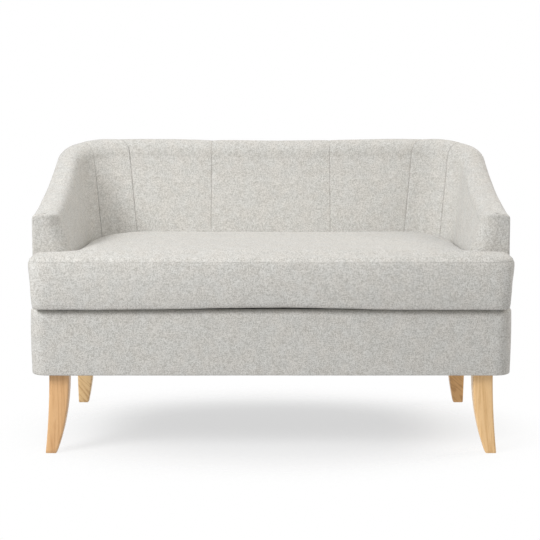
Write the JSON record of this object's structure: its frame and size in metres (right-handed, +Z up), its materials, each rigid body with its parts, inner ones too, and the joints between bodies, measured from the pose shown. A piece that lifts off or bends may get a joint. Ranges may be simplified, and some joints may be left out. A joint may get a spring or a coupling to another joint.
{
  "type": "settee",
  "caption": "Small upholstered settee with a wrap-around back, sloping arms, a loose T-shaped seat cushion and tapered wooden legs.",
  "frame": {"origin": "centre of the bounding box on the floor", "axes": "+X to the right as seen from the front, +Y from the front to the back, +Z up"},
  "size_m": [1.218, 0.7, 0.759],
  "materials": {
    "upholstery": "matte",
    "lining": "matte",
    "frame_wood": "matte",
    "board": "matte",
    "leg_wood": "satin",
    "foam": "matte",
    "fibre": "matte",
    "zip_tape": "matte",
    "zip_metal": "satin",
    "steel": "satin"
  },
  "bodies": {
    "settee": {"front_rail": "frame_wood", "rear_rail": "frame_wood", "left_side_rail": "frame_wood", "right_side_rail": "frame_wood", "centre_stretcher": "frame_wood", "front_corner_blocks": "frame_wood", "rear_corner_blocks": "frame_wood", "left_arm_front_board": "board", "right_arm_front_board": "board", "left_arm_top_rail": "frame_wood", "right_arm_top_rail": "frame_wood", "left_arm_rear_post": "frame_wood", "right_arm_rear_post": "frame_wood", "left_arm_liner": "board", "right_arm_liner": "board", "left_corner_panel": "board", "right_corner_panel": "board", "left_back_post": "frame_wood", "right_back_post": "frame_wood", "back_centre_stay": "frame_wood", "back_top_rail": "frame_wood", "back_lower_rail": "frame_wood", "seat_springs": "steel", "spring_clips": "steel", "back_webbing": "lining", "deck_pad": "foam", "left_arm_foam": "foam", "right_arm_foam": "foam", "left_corner_foam": "foam", "right_corner_foam": "foam", "back_foam": "foam", "front_border_cover": "upholstery", "deck_cover": "lining", "left_arm_facing": "upholstery", "right_arm_facing": "upholstery", "left_inside_arm_cover": "upholstery", "right_inside_arm_cover": "upholstery", "left_inside_corner_cover": "upholstery", "right_inside_corner_cover": "upholstery", "left_inside_back_cover": "upholstery", "right_inside_back_cover": "upholstery", "centre_inside_back_cover": "upholstery", "left_outside_arm_cover": "upholstery", "right_outside_arm_cover": "upholstery", "outside_back_cover": "upholstery", "dust_cover": "lining", "front_left_leg": "leg_wood", "front_right_leg": "leg_wood", "rear_left_leg": "leg_wood", "rear_right_leg": "leg_wood", "leg_bolts": "steel", "leg_nuts": "steel", "frame_screws": "steel"},
    "seat_cushion": {"cushion_cover": "upholstery", "cushion_wrap": "fibre", "cushion_foam": "foam", "cushion_zip": "zip_tape"},
    "zip_pull": {"zip_slider": "zip_metal"}
  },
  "joints": [
    {"name": "cushion_lift", "type": "slide", "parent": "settee", "child": "seat_cushion", "axis": [0, 0, 1], "range_m": [0, 0.3]},
    {"name": "zip_slide", "type": "slide", "parent": "seat_cushion", "child": "zip_pull", "axis": [-1, 0, 0], "range_m": [0, 0.67]}
  ]
}
